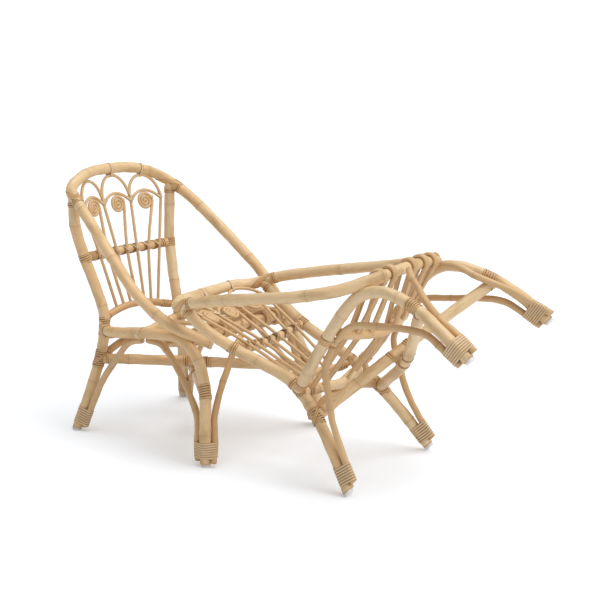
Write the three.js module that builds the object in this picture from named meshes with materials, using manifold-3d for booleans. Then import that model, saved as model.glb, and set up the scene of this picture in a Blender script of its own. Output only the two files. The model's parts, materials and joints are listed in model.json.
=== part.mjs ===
// A pair of small rattan armchairs: one stands upright, the other is tipped back against it.
// Millimetres, +Z up. Each chair is drawn in its own frame: X runs forward, the origin lies on
// the floor, in the middle, below the place where the side rails meet the back posts.

import * as THREE from 'three';
import { mergeVertices } from 'three/addons/utils/BufferGeometryUtils.js';
import { ConvexGeometry } from 'three/addons/geometries/ConvexGeometry.js';
import Module from 'manifold-3d';

const wasm = await Module();
wasm.setup();

// Overall sizes of one chair
const depth = 410;        // rear foot to front foot
const halfWidth = 200;    // middle to front foot
const height = 584;       // floor to the middle of the top rail

// Pole and rod diameters
const frameDiameter = 25;
const stretcherDiameter = 24;
const frontRailDiameter = 24;
const seatRailDiameter = 22;
const crossbarDiameter = 20;
const backRailDiameter = 17;
const rearBraceDiameter = 18;
const archRodDiameter = 14.5;
const latticeRodDiameter = 7.5;
const seatRodDiameter = 8;

// Fits and small parts
const clearance = 0.3;          // between pieces that touch
const peel = 2.4;               // build-up of a cane peel binding
const glideDiameter = 21;
const glideHeight = 6;
const glideRim = 9.75;          // radius of the glide's flat sole
const glideEdge = 1.5;          // height of its bevelled edge
const footBindingLow = 13;      // height of a foot binding's lower edge
const footBindingWidth = 44;
const rodEndHeight = 10;        // the rods stop this far above the floor
const archBindingWidth = 22;
const scrollDiameter = 45;
const scrollPitch = 8.4;        // from one turn of a scroll to the next
const loopAngle = 100;          // how far a seat strand wraps the front rail, up and down
const overrun = 40;             // how far a cut runs past its piece

// How the second chair lies: it leans back on its rear heels, turned a little about the vertical
const tipTurn = THREE.MathUtils.degToRad(6.9);
const leastLean = THREE.MathUtils.degToRad(20);
const mostLean = THREE.MathUtils.degToRad(80);
const leanTries = 15;
const heelDistance = 684;       // heel line in front of the upright chair's back posts
const heelShift = 19.5;         // sideways

// Facets
const frameSides = 8;
const rodSides = 6;
const caneSides = 5;
const scrollSteps = 8;          // facets in one turn of a scroll
const archSteps = 6;            // and in one arch of the back
const weld = 1e-4;              // corners closer than this are one
const sliver = 0.04;            // the cuts leave no edges finer than this

const frameRadius = frameDiameter / 2;
const stretcherRadius = stretcherDiameter / 2;
const frontRailRadius = frontRailDiameter / 2;
const seatRailRadius = seatRailDiameter / 2;
const crossbarRadius = crossbarDiameter / 2;
const backRailRadius = backRailDiameter / 2;
const rearBraceRadius = rearBraceDiameter / 2;
const archRodRadius = archRodDiameter / 2;
const latticeRodRadius = latticeRodDiameter / 2;
const seatRodRadius = seatRodDiameter / 2;
const glideRadius = glideDiameter / 2;
const soleHeight = glideHeight + clearance;

// Routes of the bent poles for the chair's left side, as shares of depth, half width and height
const armShares = [
  [-0.298, 0, 1], [-0.288, 0.29, 0.997], [-0.256, 0.545, 0.98], [-0.21, 0.765, 0.944],
  [-0.078, 0.87, 0.885], [0.078, 0.94, 0.798], [0.246, 1, 0.699], [0.42, 1.035, 0.596],
  [0.6, 0.93, 0.5], [0.783, 0.66, 0.43],
];
const armEndShares = [0.7, 0.795, 0.462];      // the left arm ends sooner, over the front rail
const postShares = [
  [-0.176, 0.805, 0.932], [-0.175, 0.79, 0.813], [-0.144, 0.722, 0.69], [-0.09, 0.655, 0.568],
  [-0.041, 0.62, 0.443], [-0.04, 0.692, 0.301], [-0.077, 0.8, 0.153], [-0.128, 0.92, 0],
];
const sideRailShares = [
  [-0.041, 0.655, 0.404], [0.03, 0.715, 0.404], [0.122, 0.76, 0.411], [0.234, 0.79, 0.423],
  [0.439, 0.82, 0.442], [0.62, 0.835, 0.443], [0.745, 0.84, 0.387], [0.824, 0.895, 0.274],
  [0.861, 0.98, 0.142], [0.873, 1, 0],
];
const rearArchShares = [
  [0.312, 0.755, 0.397], [0.202, 0.753, 0.373], [0.116, 0.785, 0.297], [0.033, 0.815, 0.212],
  [-0.033, 0.855, 0.106], [-0.084, 0.915, 0],
];
const frontSideArchShares = [
  [0.354, 0.755, 0.399], [0.478, 0.775, 0.396], [0.6, 0.812, 0.32], [0.72, 0.88, 0.233],
  [0.785, 0.93, 0.169], [0.807, 0.978, 0.09], [0.824, 1.01, 0],
];
// The two rods of the front differ: the left one starts at the corner, the right one near the middle
const leftFrontArchShares = [
  [0.72, 0.72, 0.422], [0.78, 0.7, 0.37], [0.812, 0.725, 0.3], [0.84, 0.785, 0.24],
  [0.873, 0.86, 0.17], [0.898, 0.915, 0.09], [0.922, 0.99, 0],
];
const rightFrontArchShares = [
  [0.755, 0.11, 0.43], [0.78, 0.3, 0.388], [0.81, 0.47, 0.336], [0.832, 0.66, 0.259],
  [0.873, 0.85, 0.18], [0.898, 0.91, 0.094], [0.922, 0.99, 0],
];
const stretcherShares = [[-0.041, 0.7, 0.286], [0.37, 0, 0.252], [0.84, 0.9, 0.245]];
const frontRailShares = [[0.69, 0.83, 0.449], [0.708, 0.5, 0.457], [0.71, 0, 0.46]];
const rearRailShares = [[-0.02, 0.67, 0.385], [-0.015, 0.3, 0.37], [-0.012, 0, 0.355]];
const rearBraceShares = [[-0.03, 0.7, 0.294], [-0.042, 0.35, 0.33], [-0.05, 0, 0.336]];
const middleRailShares = [[0.39, 0.74, 0.418], [0.397, 0.55, 0.39], [0.397, 0.3, 0.373], [0.397, 0, 0.36]];
const backRailShares = [
  [-0.045, 0.615, 0.432], [-0.084, 0.495, 0.436], [-0.1, 0.255, 0.455], [-0.107, 0, 0.46],
];
const crossbarShares = [[-0.139, 0.71, 0.682], [-0.173, 0.35, 0.677], [-0.186, 0, 0.676]];

// Back lattice: sideways places of the seven rods at the bottom rail, the crossbar and the top
const rodBottomShares = [-0.29, -0.16, -0.037, 0.073, 0.182, 0.288, 0.4];
const rodBarShares = [-0.493, -0.331, -0.168, 0.006, 0.165, 0.343, 0.5];
const rodTopShares = [-0.6, -0.3, -0.207, 0.125, 0.24, 0.545, 0.67];
const forkHeightShare = 0.864;
const scrollHeightShare = 0.857;
const archPeakShares = [0.963, 0.973, 0.962];   // the three large arches meet the top rail
const largeArchPower = 0.85;                    // a sine to this power: 1 is an ellipse,
const smallArchPower = 2;                       // 2 is a parabola
const loopShares = [-0.55, -0.335, 0.125, 0.385, 0.6];   // where the seat's hairpins cross the front rail

const bark = (color) => new THREE.MeshStandardMaterial({ color, roughness: 0.55, metalness: 0 });
const honey = bark(0xd9b684);
const straw = bark(0xcfa871);
const peelTan = bark(0xc79a60);
const glideWhite = new THREE.MeshStandardMaterial({ color: 0xf2f0ea, roughness: 0.4, metalness: 0 });

// A share table becomes points; side is 1 for the left half of the chair and -1 for the right
function route(shares, side = 1) {
  return shares.map(([x, y, z]) => new THREE.Vector3(x * depth, side * y * halfWidth, z * height));
}

// A half route from one side to the middle becomes a whole one, from left to right
function across(shares) {
  const left = route(shares);
  return [...left, ...route(shares.slice(0, -1), -1).reverse()];
}

function polygon(radius, sides) {
  const corners = [];
  for (let i = 0; i < sides; i++) {
    const angle = (2 * Math.PI * i) / sides;
    corners.push(new THREE.Vector2(radius * Math.cos(angle), radius * Math.sin(angle)));
  }
  return corners;
}

function solid(geometry) {
  const bare = geometry.clone();
  bare.deleteAttribute('normal');
  bare.deleteAttribute('uv');
  const merged = mergeVertices(bare, weld);
  return new wasm.Manifold(new wasm.Mesh({
    numProp: 3,
    vertProperties: new Float32Array(merged.attributes.position.array),
    triVerts: new Uint32Array(merged.index.array),
  }));
}

// Steps are spread evenly over the points, so a stretch with close points, such as a bend, gets more
function sweep(path, radius, sides, steps) {
  path.getUtoTmapping = (u) => u;
  const section = new THREE.Shape(polygon(radius, sides));
  return solid(new THREE.ExtrudeGeometry(section, { steps, extrudePath: path, bevelEnabled: false }));
}

function bend(points) {
  return new THREE.CatmullRomCurve3(points, false, 'catmullrom', 0.5);
}

function tube(points, radius, sides, steps) {
  return sweep(bend(points), radius, sides, steps);
}

// A thin rod whose sections lie on its points
class Polyline extends THREE.Curve {
  constructor(points) {
    super();
    this.points = points;
  }

  getPoint(t, target = new THREE.Vector3()) {
    const place = t * (this.points.length - 1);
    const i = Math.min(Math.floor(place), this.points.length - 2);
    return target.copy(this.points[i]).lerp(this.points[i + 1], place - i);
  }
}

function rod(points, radius) {
  return sweep(new Polyline(points), radius, caneSides, points.length - 1);
}

// A pole, with a cutter for its neighbours that is a clearance thicker
function pole(points, radius, sides, steps) {
  const body = tube(points, radius, sides, steps);
  const cutter = tube(points, radius + clearance, sides, steps);
  return { points, radius, body, cutter };
}

// The piece is coped against its neighbours; an offcut behind a joint falls away
function cope(body, neighbours) {
  const cut = neighbours.reduce((rest, other) => rest.subtract(other.cutter), body);
  const lumps = cut.simplify(sliver).decompose();
  return lumps.reduce((best, lump) => (lump.volume() > best.volume() ? lump : best));
}

function moved(geometry, x, y, z) {
  geometry.translate(x, y, z);
  return geometry;
}

// Everything below the soles of the legs or below the ends of the rods
function ground(top) {
  const size = 2 * (depth + overrun);
  return { cutter: solid(moved(new THREE.BoxGeometry(size, size, size), 0, 0, top - size / 2)) };
}

function pointAtHeight(pole, z) {
  const points = bend(pole.points).getPoints(10 * pole.points.length);
  return points.reduce((best, p) => (Math.abs(p.z - z) < Math.abs(best.z - z) ? p : best));
}

function pointAtDepth(pole, x) {
  const points = bend(pole.points).getPoints(10 * pole.points.length);
  return points.reduce((best, p) => (Math.abs(p.x - x) < Math.abs(best.x - x) ? p : best));
}

// The route of a rod beside a leg: its foot lies against the leg's
function besideLeg(points, leg) {
  const foot = points.at(-1);
  const sole = leg.points.at(-1);
  foot.sub(sole).setLength(frameRadius + archRodRadius + clearance).add(sole);
  return points;
}

// The route of a rod of a side arch: its top lies against the rail from below as well
function underRail(points, leg, rail) {
  const top = points[0];
  const above = pointAtDepth(rail, top.x);
  const reach = frameRadius + archRodRadius + clearance;
  top.z = above.z - Math.sqrt(reach ** 2 - (above.y - top.y) ** 2);
  return besideLeg(points, leg);
}

// A foot binding is the hull round the leg and the rods beside it, less those poles
function footBinding(members) {
  const rim = [];
  for (const z of [footBindingLow, footBindingLow + footBindingWidth]) {
    for (const member of members) {
      const centre = pointAtHeight(member, z);
      for (const corner of polygon(member.radius + peel, rodSides)) {
        rim.push(new THREE.Vector3(centre.x + corner.x, centre.y + corner.y, z));
      }
    }
  }
  return cope(solid(new ConvexGeometry(rim)), members);
}

// The binding at the top of a side arch holds both rod ends up against the rail
function archBinding(rail, rods, neighbours) {
  const middle = (rods[0].points[0].x + rods[1].points[0].x) / 2;
  const rim = [];
  for (const x of [middle - archBindingWidth / 2, middle + archBindingWidth / 2]) {
    for (const member of [rail, rods[x < middle ? 0 : 1]]) {
      const centre = pointAtDepth(member, x);
      for (const corner of polygon(member.radius + peel, rodSides)) {
        rim.push(new THREE.Vector3(x, centre.y + corner.x, centre.z + corner.y));
      }
    }
  }
  return cope(solid(new ConvexGeometry(rim)), [rail, ...rods, ...neighbours]);
}

function glide(leg) {
  const outline = [
    [0, 0], [glideRim, 0], [glideRadius, glideEdge], [glideRadius, glideHeight], [0, glideHeight],
  ].map(([r, z]) => new THREE.Vector2(r, z));
  const turned = new THREE.LatheGeometry(outline, frameSides);
  turned.rotateX(Math.PI / 2);
  const foot = leg.points.at(-1);
  return solid(moved(turned, foot.x, foot.y, 0));
}

// The middle line of a rail that crosses the chair, at the sideways place y
function railPoint(shares, y) {
  const line = bend(across(shares)).getPoints(10 * shares.length);
  const i = Math.max(1, line.findIndex((p) => p.y < y));
  return line[i - 1].clone().lerp(line[i], (line[i - 1].y - y) / (line[i - 1].y - line[i].y));
}

// The lattice lies in a gently bowed surface: in front of the crossbar, then up under the top rail
function latticePoint(yShare, zShare) {
  const y = yShare * halfWidth;
  const z = zShare * height;
  const bar = railPoint(crossbarShares, y);
  bar.x += crossbarRadius + latticeRodRadius + clearance;
  const end = railPoint(z > bar.z ? armShares.slice(0, 4).reverse() : backRailShares, y);
  const x = THREE.MathUtils.lerp(bar.x, end.x, (z - bar.z) / (end.z - bar.z));
  return new THREE.Vector3(x, y, z);
}

// A scroll rod rises from the bottom rail, curls over to the right side of the chair and winds inwards
function scrollRod(bottom, bar, top) {
  const points = [latticePoint(bottom, backRailShares.at(-1)[2]), latticePoint(bar, crossbarShares[1][2])];
  const radius = (scrollDiameter - latticeRodDiameter) / 2;
  const turns = (radius - latticeRodRadius) / scrollPitch;
  const steps = Math.round(turns * scrollSteps);
  for (let i = 0; i <= steps; i++) {
    const angle = (2 * Math.PI * i) / scrollSteps;
    const r = radius - (scrollPitch * angle) / (2 * Math.PI);
    const y = top - (radius - r * Math.cos(angle)) / halfWidth;
    points.push(latticePoint(y, scrollHeightShare + (r * Math.sin(angle)) / height));
  }
  return rod(points, latticeRodRadius);
}

function straightRod(bottom, bar, top) {
  return rod([
    latticePoint(bottom, backRailShares.at(-1)[2]),
    latticePoint(bar, crossbarShares[1][2]),
    latticePoint(top, forkHeightShare),
  ], latticeRodRadius);
}

function latticeArch(left, right, peakHeight, power) {
  const points = [];
  for (let i = 0; i <= archSteps; i++) {
    const angle = (Math.PI * i) / archSteps;
    const y = THREE.MathUtils.lerp(left, right, (1 - Math.cos(angle)) / 2);
    const rise = Math.sin(angle) ** power;
    points.push(latticePoint(y, THREE.MathUtils.lerp(forkHeightShare, peakHeight, rise)));
  }
  return rod(points, latticeRodRadius);
}

function lattice(neighbours) {
  const rods = rodBarShares.map((bar, i) => {
    const make = i % 2 === 1 ? scrollRod : straightRod;
    return make(rodBottomShares[i], bar, rodTopShares[i]);
  });
  const overScroll = scrollHeightShare + (scrollDiameter + latticeRodDiameter) / 2 / height;
  const forks = rodTopShares.filter((share, i) => i % 2 === 0);
  for (let i = 0; i < archPeakShares.length; i++) {
    rods.push(latticeArch(forks[i], forks[i + 1], archPeakShares[i], largeArchPower));
    rods.push(latticeArch(forks[i], forks[i + 1], overScroll, smallArchPower));
  }
  return cope(rods.reduce((all, rod) => all.add(rod)), neighbours);
}

// One seat strand: from the rear rail over the middle rail, round the front rail and back below
function seatStrand(y) {
  const rear = railPoint(rearRailShares, y);
  const middle = railPoint(middleRailShares, y);
  const front = railPoint(frontRailShares, y);
  const lift = seatRailRadius + seatRodRadius + clearance;
  const wrap = frontRailRadius + seatRodRadius + 3 * clearance;
  const points = [
    new THREE.Vector3(rear.x - seatRailRadius, y, rear.z + lift),
    new THREE.Vector3(middle.x, y, middle.z + lift - seatRodRadius),
  ];
  for (let angle = loopAngle; angle >= -loopAngle; angle -= loopAngle / 2) {
    const turn = THREE.MathUtils.degToRad(angle);
    points.push(new THREE.Vector3(front.x + wrap * Math.cos(turn), y, front.z + wrap * Math.sin(turn)));
  }
  points.push(new THREE.Vector3(middle.x + seatRailRadius, y, middle.z - seatRodRadius));
  return rod(points, seatRodRadius);
}

function seat(middleRail, neighbours) {
  let strands = middleRail.body;
  for (const share of loopShares) {
    for (const side of [-1, 1]) {
      strands = strands.add(seatStrand(share * halfWidth + side * (seatRodRadius + clearance)));
    }
  }
  return cope(strands, neighbours);
}

function mesh(name, body, material) {
  const { vertProperties, triVerts } = body.getMesh();
  const geometry = new THREE.BufferGeometry();
  geometry.setAttribute('position', new THREE.BufferAttribute(new Float32Array(vertProperties), 3));
  geometry.setIndex(new THREE.BufferAttribute(new Uint32Array(triVerts), 1));
  geometry.computeVertexNormals();
  const piece = new THREE.Mesh(geometry, material);
  piece.name = name;
  return piece;
}

function chair(prefix) {
  const group = new THREE.Group();
  const bodies = {};
  const add = (name, body, material) => {
    bodies[name] = body;
    group.add(mesh(`${prefix}_${name}`, body, material));
  };
  const sole = ground(soleHeight);
  const rodFloor = ground(rodEndHeight);

  const leftArm = route([...armShares.slice(0, -1), armEndShares]);
  const armPoints = [...leftArm.reverse(), ...route(armShares.slice(1), -1)];
  const arm = pole(armPoints, frameRadius, frameSides, 28);
  add('arm_hoop', arm.body, honey);

  const posts = [];
  const rails = [];
  for (const [side, word] of [[1, 'left'], [-1, 'right']]) {
    const post = pole(route(postShares, side), frameRadius, frameSides, 10);
    posts.push(post);
    add(`${word}_back_post`, cope(post.body, [arm, sole]), honey);
    const rail = pole(route(sideRailShares, side), frameRadius, frameSides, 14);
    rails.push(rail);
    add(`${word}_side_rail`, cope(rail.body, [arm, post, sole]), honey);
  }
  const frame = [arm, ...posts, ...rails];

  const frontRail = pole(across(frontRailShares), frontRailRadius, frameSides, 4);
  add('front_rail', cope(frontRail.body, frame), honey);
  const rearRail = pole(across(rearRailShares), seatRailRadius, frameSides, 4);
  add('rear_rail', cope(rearRail.body, frame), honey);
  const backRail = pole(across(backRailShares), backRailRadius, rodSides, 8);
  add('back_rail', cope(backRail.body, frame), straw);
  const crossbar = pole(across(crossbarShares), crossbarRadius, frameSides, 4);
  add('back_crossbar', cope(crossbar.body, frame), honey);
  add('back_lattice', lattice([...frame, crossbar, backRail]), straw);
  const middleRail = pole(across(middleRailShares), seatRailRadius, frameSides, 6);
  add('seat_strands', seat(middleRail, [...frame, frontRail, rearRail]), straw);

  // The two stretchers cross in the middle, one above the other
  const stretchers = [];
  for (const [side, word] of [[1, 'left'], [-1, 'right']]) {
    const [back, middle, front] = stretcherShares;
    const points = [...route([back, middle], side), ...route([front], -side)];
    points[1].z -= side * (stretcherRadius + clearance / 2);
    const stretcher = pole(points, stretcherRadius, frameSides, 6);
    stretchers.push(stretcher);
    add(`${word}_stretcher`, cope(stretcher.body, frame), honey);
  }

  const rearBrace = pole(across(rearBraceShares), rearBraceRadius, rodSides, 4);
  add('rear_brace', cope(rearBrace.body, [...frame, rearRail, ...stretchers]), straw);

  for (const [i, side, word] of [[0, 1, 'left'], [1, -1, 'right']]) {
    const taken = [...frame, ...stretchers, frontRail, rearRail, middleRail];
    const rearRoute = underRail(route(rearArchShares, side), posts[i], rails[i]);
    const frontRoute = underRail(route(frontSideArchShares, side), rails[i], rails[i]);
    const crossShares = [leftFrontArchShares, rightFrontArchShares][i];
    const crossRoute = besideLeg(route(crossShares, side), rails[i]);
    const rearRod = pole(rearRoute, archRodRadius, rodSides, 7);
    const frontRod = pole(frontRoute, archRodRadius, rodSides, 7);
    const crossRod = pole(crossRoute, archRodRadius, rodSides, 8);
    add(`${word}_rear_arch_rod`, cope(rearRod.body, [...taken, rodFloor]), straw);
    add(`${word}_side_arch_rod`, cope(frontRod.body, [...taken, rodFloor]), straw);
    add(`${word}_front_arch_rod`, cope(crossRod.body, [...taken, rodFloor]), straw);
    add(`${word}_rear_foot_binding`, footBinding([posts[i], rearRod]), peelTan);
    add(`${word}_front_foot_binding`, footBinding([rails[i], frontRod, crossRod]), peelTan);
    add(`${word}_arch_binding`, archBinding(rails[i], [rearRod, frontRod], [middleRail]), peelTan);
    add(`${word}_rear_glide`, glide(posts[i]), glideWhite);
    add(`${word}_front_glide`, glide(rails[i]), glideWhite);
  }
  return { group, bodies };
}

// The tipped chair's place in the upright chair's frame: it turns on the heels of its rear glides
function leaning(angle) {
  const heelX = postShares.at(-1)[0] * depth - glideRim;
  return new THREE.Matrix4().makeTranslation(heelDistance, heelShift, 0)
    .multiply(new THREE.Matrix4().makeRotationZ(tipTurn))
    .multiply(new THREE.Matrix4().makeRotationY(-angle))
    .multiply(new THREE.Matrix4().makeTranslation(-heelX, 0, 0));
}

// It leans back until it comes to rest on the upright chair
function restAngle(upright, tipped) {
  const fixed = wasm.Manifold.compose(Object.values(upright));
  const moving = wasm.Manifold.compose(Object.values(tipped));
  let free = leastLean;
  let resting = mostLean;
  for (let i = 0; i < leanTries; i++) {
    const angle = (free + resting) / 2;
    if (fixed.minGap(moving.transform(leaning(angle).elements), clearance) >= clearance) free = angle;
    else resting = angle;
  }
  return free;
}

const upright = chair('upright');
const tipped = chair('tipped');
tipped.group.applyMatrix4(leaning(restAngle(upright.bodies, tipped.bodies)));

// The origin is on the floor, below the middle of the pair
const group = new THREE.Group();
group.add(upright.group, tipped.group);
const middle = new THREE.Box3().setFromObject(group, true).getCenter(new THREE.Vector3());
group.position.set(-middle.x, -middle.y, 0);

export default group;
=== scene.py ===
"""A pair of small rattan armchairs, one upright and one tipped back against it.

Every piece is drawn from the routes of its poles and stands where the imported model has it.
"""

import json
import math

import bpy
import numpy as np
from mathutils import Matrix, Vector


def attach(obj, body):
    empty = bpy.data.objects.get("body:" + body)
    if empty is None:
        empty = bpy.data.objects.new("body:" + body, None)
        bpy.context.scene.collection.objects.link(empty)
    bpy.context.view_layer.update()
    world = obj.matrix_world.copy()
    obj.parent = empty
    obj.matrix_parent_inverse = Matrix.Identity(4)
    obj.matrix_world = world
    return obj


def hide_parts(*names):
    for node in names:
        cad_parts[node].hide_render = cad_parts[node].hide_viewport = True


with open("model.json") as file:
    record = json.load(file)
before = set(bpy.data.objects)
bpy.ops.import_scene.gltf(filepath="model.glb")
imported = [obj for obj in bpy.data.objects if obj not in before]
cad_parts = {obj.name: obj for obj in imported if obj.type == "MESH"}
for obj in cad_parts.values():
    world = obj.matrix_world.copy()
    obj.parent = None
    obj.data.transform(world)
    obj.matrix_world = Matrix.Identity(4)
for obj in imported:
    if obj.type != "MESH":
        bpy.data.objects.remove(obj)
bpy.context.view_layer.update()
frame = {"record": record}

bl_info = {
    "name": "Rattan armchairs",
    "version": (1, 0, 0),
    "blender": (4, 5, 0),
    "location": "View3D > Sidebar > Rattan",
    "description": "Builds a pair of small rattan armchairs from their bent poles, canes and bindings",
    "category": "Object",
}

CHAIRS = ("upright", "tipped")
SIDES = (("left", 1), ("right", -1))

# Routes of one chair's left half, as shares of its depth, half width and height
ARM = [(-0.298, 0, 1), (-0.288, 0.29, 0.997), (-0.256, 0.545, 0.98), (-0.21, 0.765, 0.944),
       (-0.078, 0.87, 0.885), (0.078, 0.94, 0.798), (0.246, 1, 0.699), (0.42, 1.035, 0.596),
       (0.6, 0.93, 0.5), (0.783, 0.66, 0.43)]
LEFT_ARM_END = (0.7, 0.795, 0.462)
TOP_RAIL = ARM[:4]
POST = [(-0.176, 0.805, 0.932), (-0.175, 0.79, 0.813), (-0.144, 0.722, 0.69), (-0.09, 0.655, 0.568),
        (-0.041, 0.62, 0.443), (-0.04, 0.692, 0.301), (-0.077, 0.8, 0.153), (-0.128, 0.92, 0)]
SIDE_RAIL = [(-0.041, 0.655, 0.404), (0.03, 0.715, 0.404), (0.122, 0.76, 0.411), (0.234, 0.79, 0.423),
             (0.439, 0.82, 0.442), (0.62, 0.835, 0.443), (0.745, 0.84, 0.387), (0.824, 0.895, 0.274),
             (0.861, 0.98, 0.142), (0.873, 1, 0)]
REAR_ARCH = [(0.312, 0.755, 0.397), (0.202, 0.753, 0.373), (0.116, 0.785, 0.297), (0.033, 0.815, 0.212),
             (-0.033, 0.855, 0.106), (-0.084, 0.915, 0)]
SIDE_ARCH = [(0.354, 0.755, 0.399), (0.478, 0.775, 0.396), (0.6, 0.812, 0.32), (0.72, 0.88, 0.233),
             (0.785, 0.93, 0.169), (0.807, 0.978, 0.09), (0.824, 1.01, 0)]
FRONT_ARCHES = {"left": [(0.72, 0.72, 0.422), (0.78, 0.7, 0.37), (0.812, 0.725, 0.3), (0.84, 0.785, 0.24),
                (0.873, 0.86, 0.17), (0.898, 0.915, 0.09), (0.922, 0.99, 0)],
                "right": [(0.755, 0.11, 0.43), (0.78, 0.3, 0.388), (0.81, 0.47, 0.336), (0.832, 0.66, 0.259),
                (0.873, 0.85, 0.18), (0.898, 0.91, 0.094), (0.922, 0.99, 0)]}
STRETCHER = [(-0.041, 0.7, 0.286), (0.37, 0, 0.252), (0.84, 0.9, 0.245)]
FRONT_RAIL = [(0.69, 0.83, 0.449), (0.708, 0.5, 0.457), (0.71, 0, 0.46)]
REAR_RAIL = [(-0.02, 0.67, 0.385), (-0.015, 0.3, 0.37), (-0.012, 0, 0.355)]
REAR_BRACE = [(-0.03, 0.7, 0.294), (-0.042, 0.35, 0.33), (-0.05, 0, 0.336)]
MIDDLE_RAIL = [(0.39, 0.74, 0.418), (0.397, 0.55, 0.39), (0.397, 0.3, 0.373), (0.397, 0, 0.36)]
BACK_RAIL = [(-0.045, 0.615, 0.432), (-0.084, 0.495, 0.436), (-0.1, 0.255, 0.455), (-0.107, 0, 0.46)]
CROSSBAR = [(-0.139, 0.71, 0.682), (-0.173, 0.35, 0.677), (-0.186, 0, 0.676)]

# The seven rods of the back, from the right side of the chair to the left
ROD_BOTTOMS = (-0.29, -0.16, -0.037, 0.073, 0.182, 0.288, 0.4)
ROD_BARS = (-0.493, -0.331, -0.168, 0.006, 0.165, 0.343, 0.5)
ROD_TOPS = (-0.6, -0.3, -0.207, 0.125, 0.24, 0.545, 0.67)
FORKS = ROD_TOPS[::2]      # The straight rods end in forks; the rods between them are scrolls
FORK_HEIGHT = 0.864
SCROLL_HEIGHT = 0.857
ARCH_PEAKS = (0.963, 0.973, 0.962)

# The arches rise as a sine to this power: 1 makes an ellipse, 2 a parabola
LARGE_ARCH_POWER = 0.85
SMALL_ARCH_POWER = 2

# The pairs of seat canes, as shares of the half width
LOOPS = (-0.55, -0.335, 0.125, 0.385, 0.6)

# Radius of a glide's flat sole. The tipped chair turns on the edge of it
GLIDE_SOLE = 0.00975


def linear(red, green, blue):
    """A screen colour in 0 to 255 as the linear colour that a socket takes."""
    return tuple(c / 12.92 if c <= 0.04045 else ((c + 0.055) / 1.055) ** 2.4
                 for c in (red / 255, green / 255, blue / 255))


def size_property(label, about, value):
    return bpy.props.FloatProperty(name=label, description=about, default=value, min=0, unit='LENGTH')


def colour_property(label, about, value):
    return bpy.props.FloatVectorProperty(name=label, description=about, default=value, size=3,
                                         min=0, max=1, subtype='COLOR')


def number_property(label, about, value):
    return bpy.props.FloatProperty(name=label, description=about, default=value)


class RattanSizes(bpy.types.PropertyGroup):
    """Sizes of one chair."""

    depth: size_property("Depth", "Rear foot to front foot", 0.41)
    half_width: size_property("Half width", "Middle to front foot", 0.2)
    height: size_property("Height", "Floor to the middle of the top rail", 0.584)
    frame_pole: size_property("Frame pole", "Diameter of hoop, posts and side rails", 0.025)
    stretcher: size_property("Stretcher", "Diameter of the crossed stretchers", 0.024)
    front_rail: size_property("Front rail", "Diameter of the seat's front rail", 0.024)
    seat_rail: size_property("Seat rail", "Diameter of the rear and middle rails", 0.022)
    crossbar: size_property("Crossbar", "Diameter of the bar across the back", 0.02)
    back_rail: size_property("Back rail", "Diameter of the rail below the back", 0.017)
    rear_brace: size_property("Rear brace", "Diameter of the bowed brace", 0.018)
    arch_rod: size_property("Arch rod", "Diameter of the rods that brace the legs", 0.0145)
    lattice_rod: size_property("Lattice rod", "Diameter of the canes of the back", 0.0075)
    seat_rod: size_property("Seat rod", "Diameter of the canes of the seat", 0.008)
    scroll: size_property("Scroll", "Outer diameter of a scroll", 0.048)
    scroll_pitch: size_property("Scroll pitch", "From one turn of a scroll to the next", 0.0075)
    peel_width: size_property("Peel width", "Width of the cane peel of the bindings", 0.005)
    peel_thickness: size_property("Peel thickness", "Thickness of that peel", 0.0012)
    clearance: size_property("Clearance", "Gap between pieces that touch", 0.0003)
    glide: size_property("Glide", "Diameter of a glide", 0.021)
    glide_height: size_property("Glide height", "Height of a glide", 0.006)


class RattanColours(bpy.types.PropertyGroup):
    """Colours of the finishes."""

    pole: colour_property("Pole", "Skin of the frame poles", linear(229, 191, 141))
    pale: colour_property("Pale pole", "Palest stretches of a pole", linear(236, 208, 165))
    skin: colour_property("Bark patch", "Greyer patches of bark", linear(191, 157, 108))
    node: colour_property("Node", "Dark rings where a leaf grew", linear(140, 98, 58))
    cane: colour_property("Cane", "Thin canes", linear(226, 192, 146))
    cane_dark: colour_property("Dark cane", "Darker canes", linear(206, 164, 114))
    peel: colour_property("Peel", "Wound cane peel", linear(220, 174, 116))
    # Dark colour of the peel's streaks, and painted shade at the edges of its strips between the turns
    peel_grain_and_gap_shade: colour_property("Peel edge", "Edges of the peel", linear(92, 54, 26))
    band: colour_property("Band", "Wide pale bands and shaved cane", linear(228, 198, 156))
    cut: colour_property("Cut end", "Pith at a cut end", linear(214, 180, 134))
    plastic: colour_property("Plastic", "Moulded glides", linear(240, 240, 238))
    floor: colour_property("Floor", "Floor and backdrop", linear(231, 235, 240))


class RattanStudio(bpy.types.PropertyGroup):
    """Lamps and camera."""

    key: number_property("Key", "Strength of the soft light from above", 1.75)
    fill: number_property("Fill", "Strength of the light from the right", 0.85)
    ambient: number_property("Ambient", "Strength of the even light", 0.44)
    lens: number_property("Lens", "Focal length in millimetres", 92.08)


def sizes():
    return bpy.context.scene.rattan_sizes


def colours():
    return bpy.context.scene.rattan_colours


# Where the two chairs stand

def upright_place():
    """From a chair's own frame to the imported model, by the mounts under its rear feet."""
    feet = [Vector(m["pos_m"]) for m in frame["record"]["mounts"] if m["name"].endswith("rear_foot")]
    middle = sum(feet, Vector()) / len(feet)
    return Matrix.Translation(Vector((middle.x - POST[-1][0] * sizes().depth, middle.y, 0)))


def tipped_place():
    """The second chair leans back on the hinge at the heels of its rear glides."""
    hinge = frame["record"]["behaviour"]["joints"][0]
    turn = math.atan2(-hinge["axis"][0], hinge["axis"][1])
    lean = math.radians(hinge["range_deg"][1])
    heel = POST[-1][0] * sizes().depth - GLIDE_SOLE
    return (Matrix.Translation(Vector(hinge["pos_m"])) @ Matrix.Rotation(turn, 4, 'Z')
            @ Matrix.Rotation(-lean, 4, 'Y') @ Matrix.Translation(Vector((-heel, 0, 0))))


def place_of(chair):
    return upright_place() if chair == "upright" else tipped_place()


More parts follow.
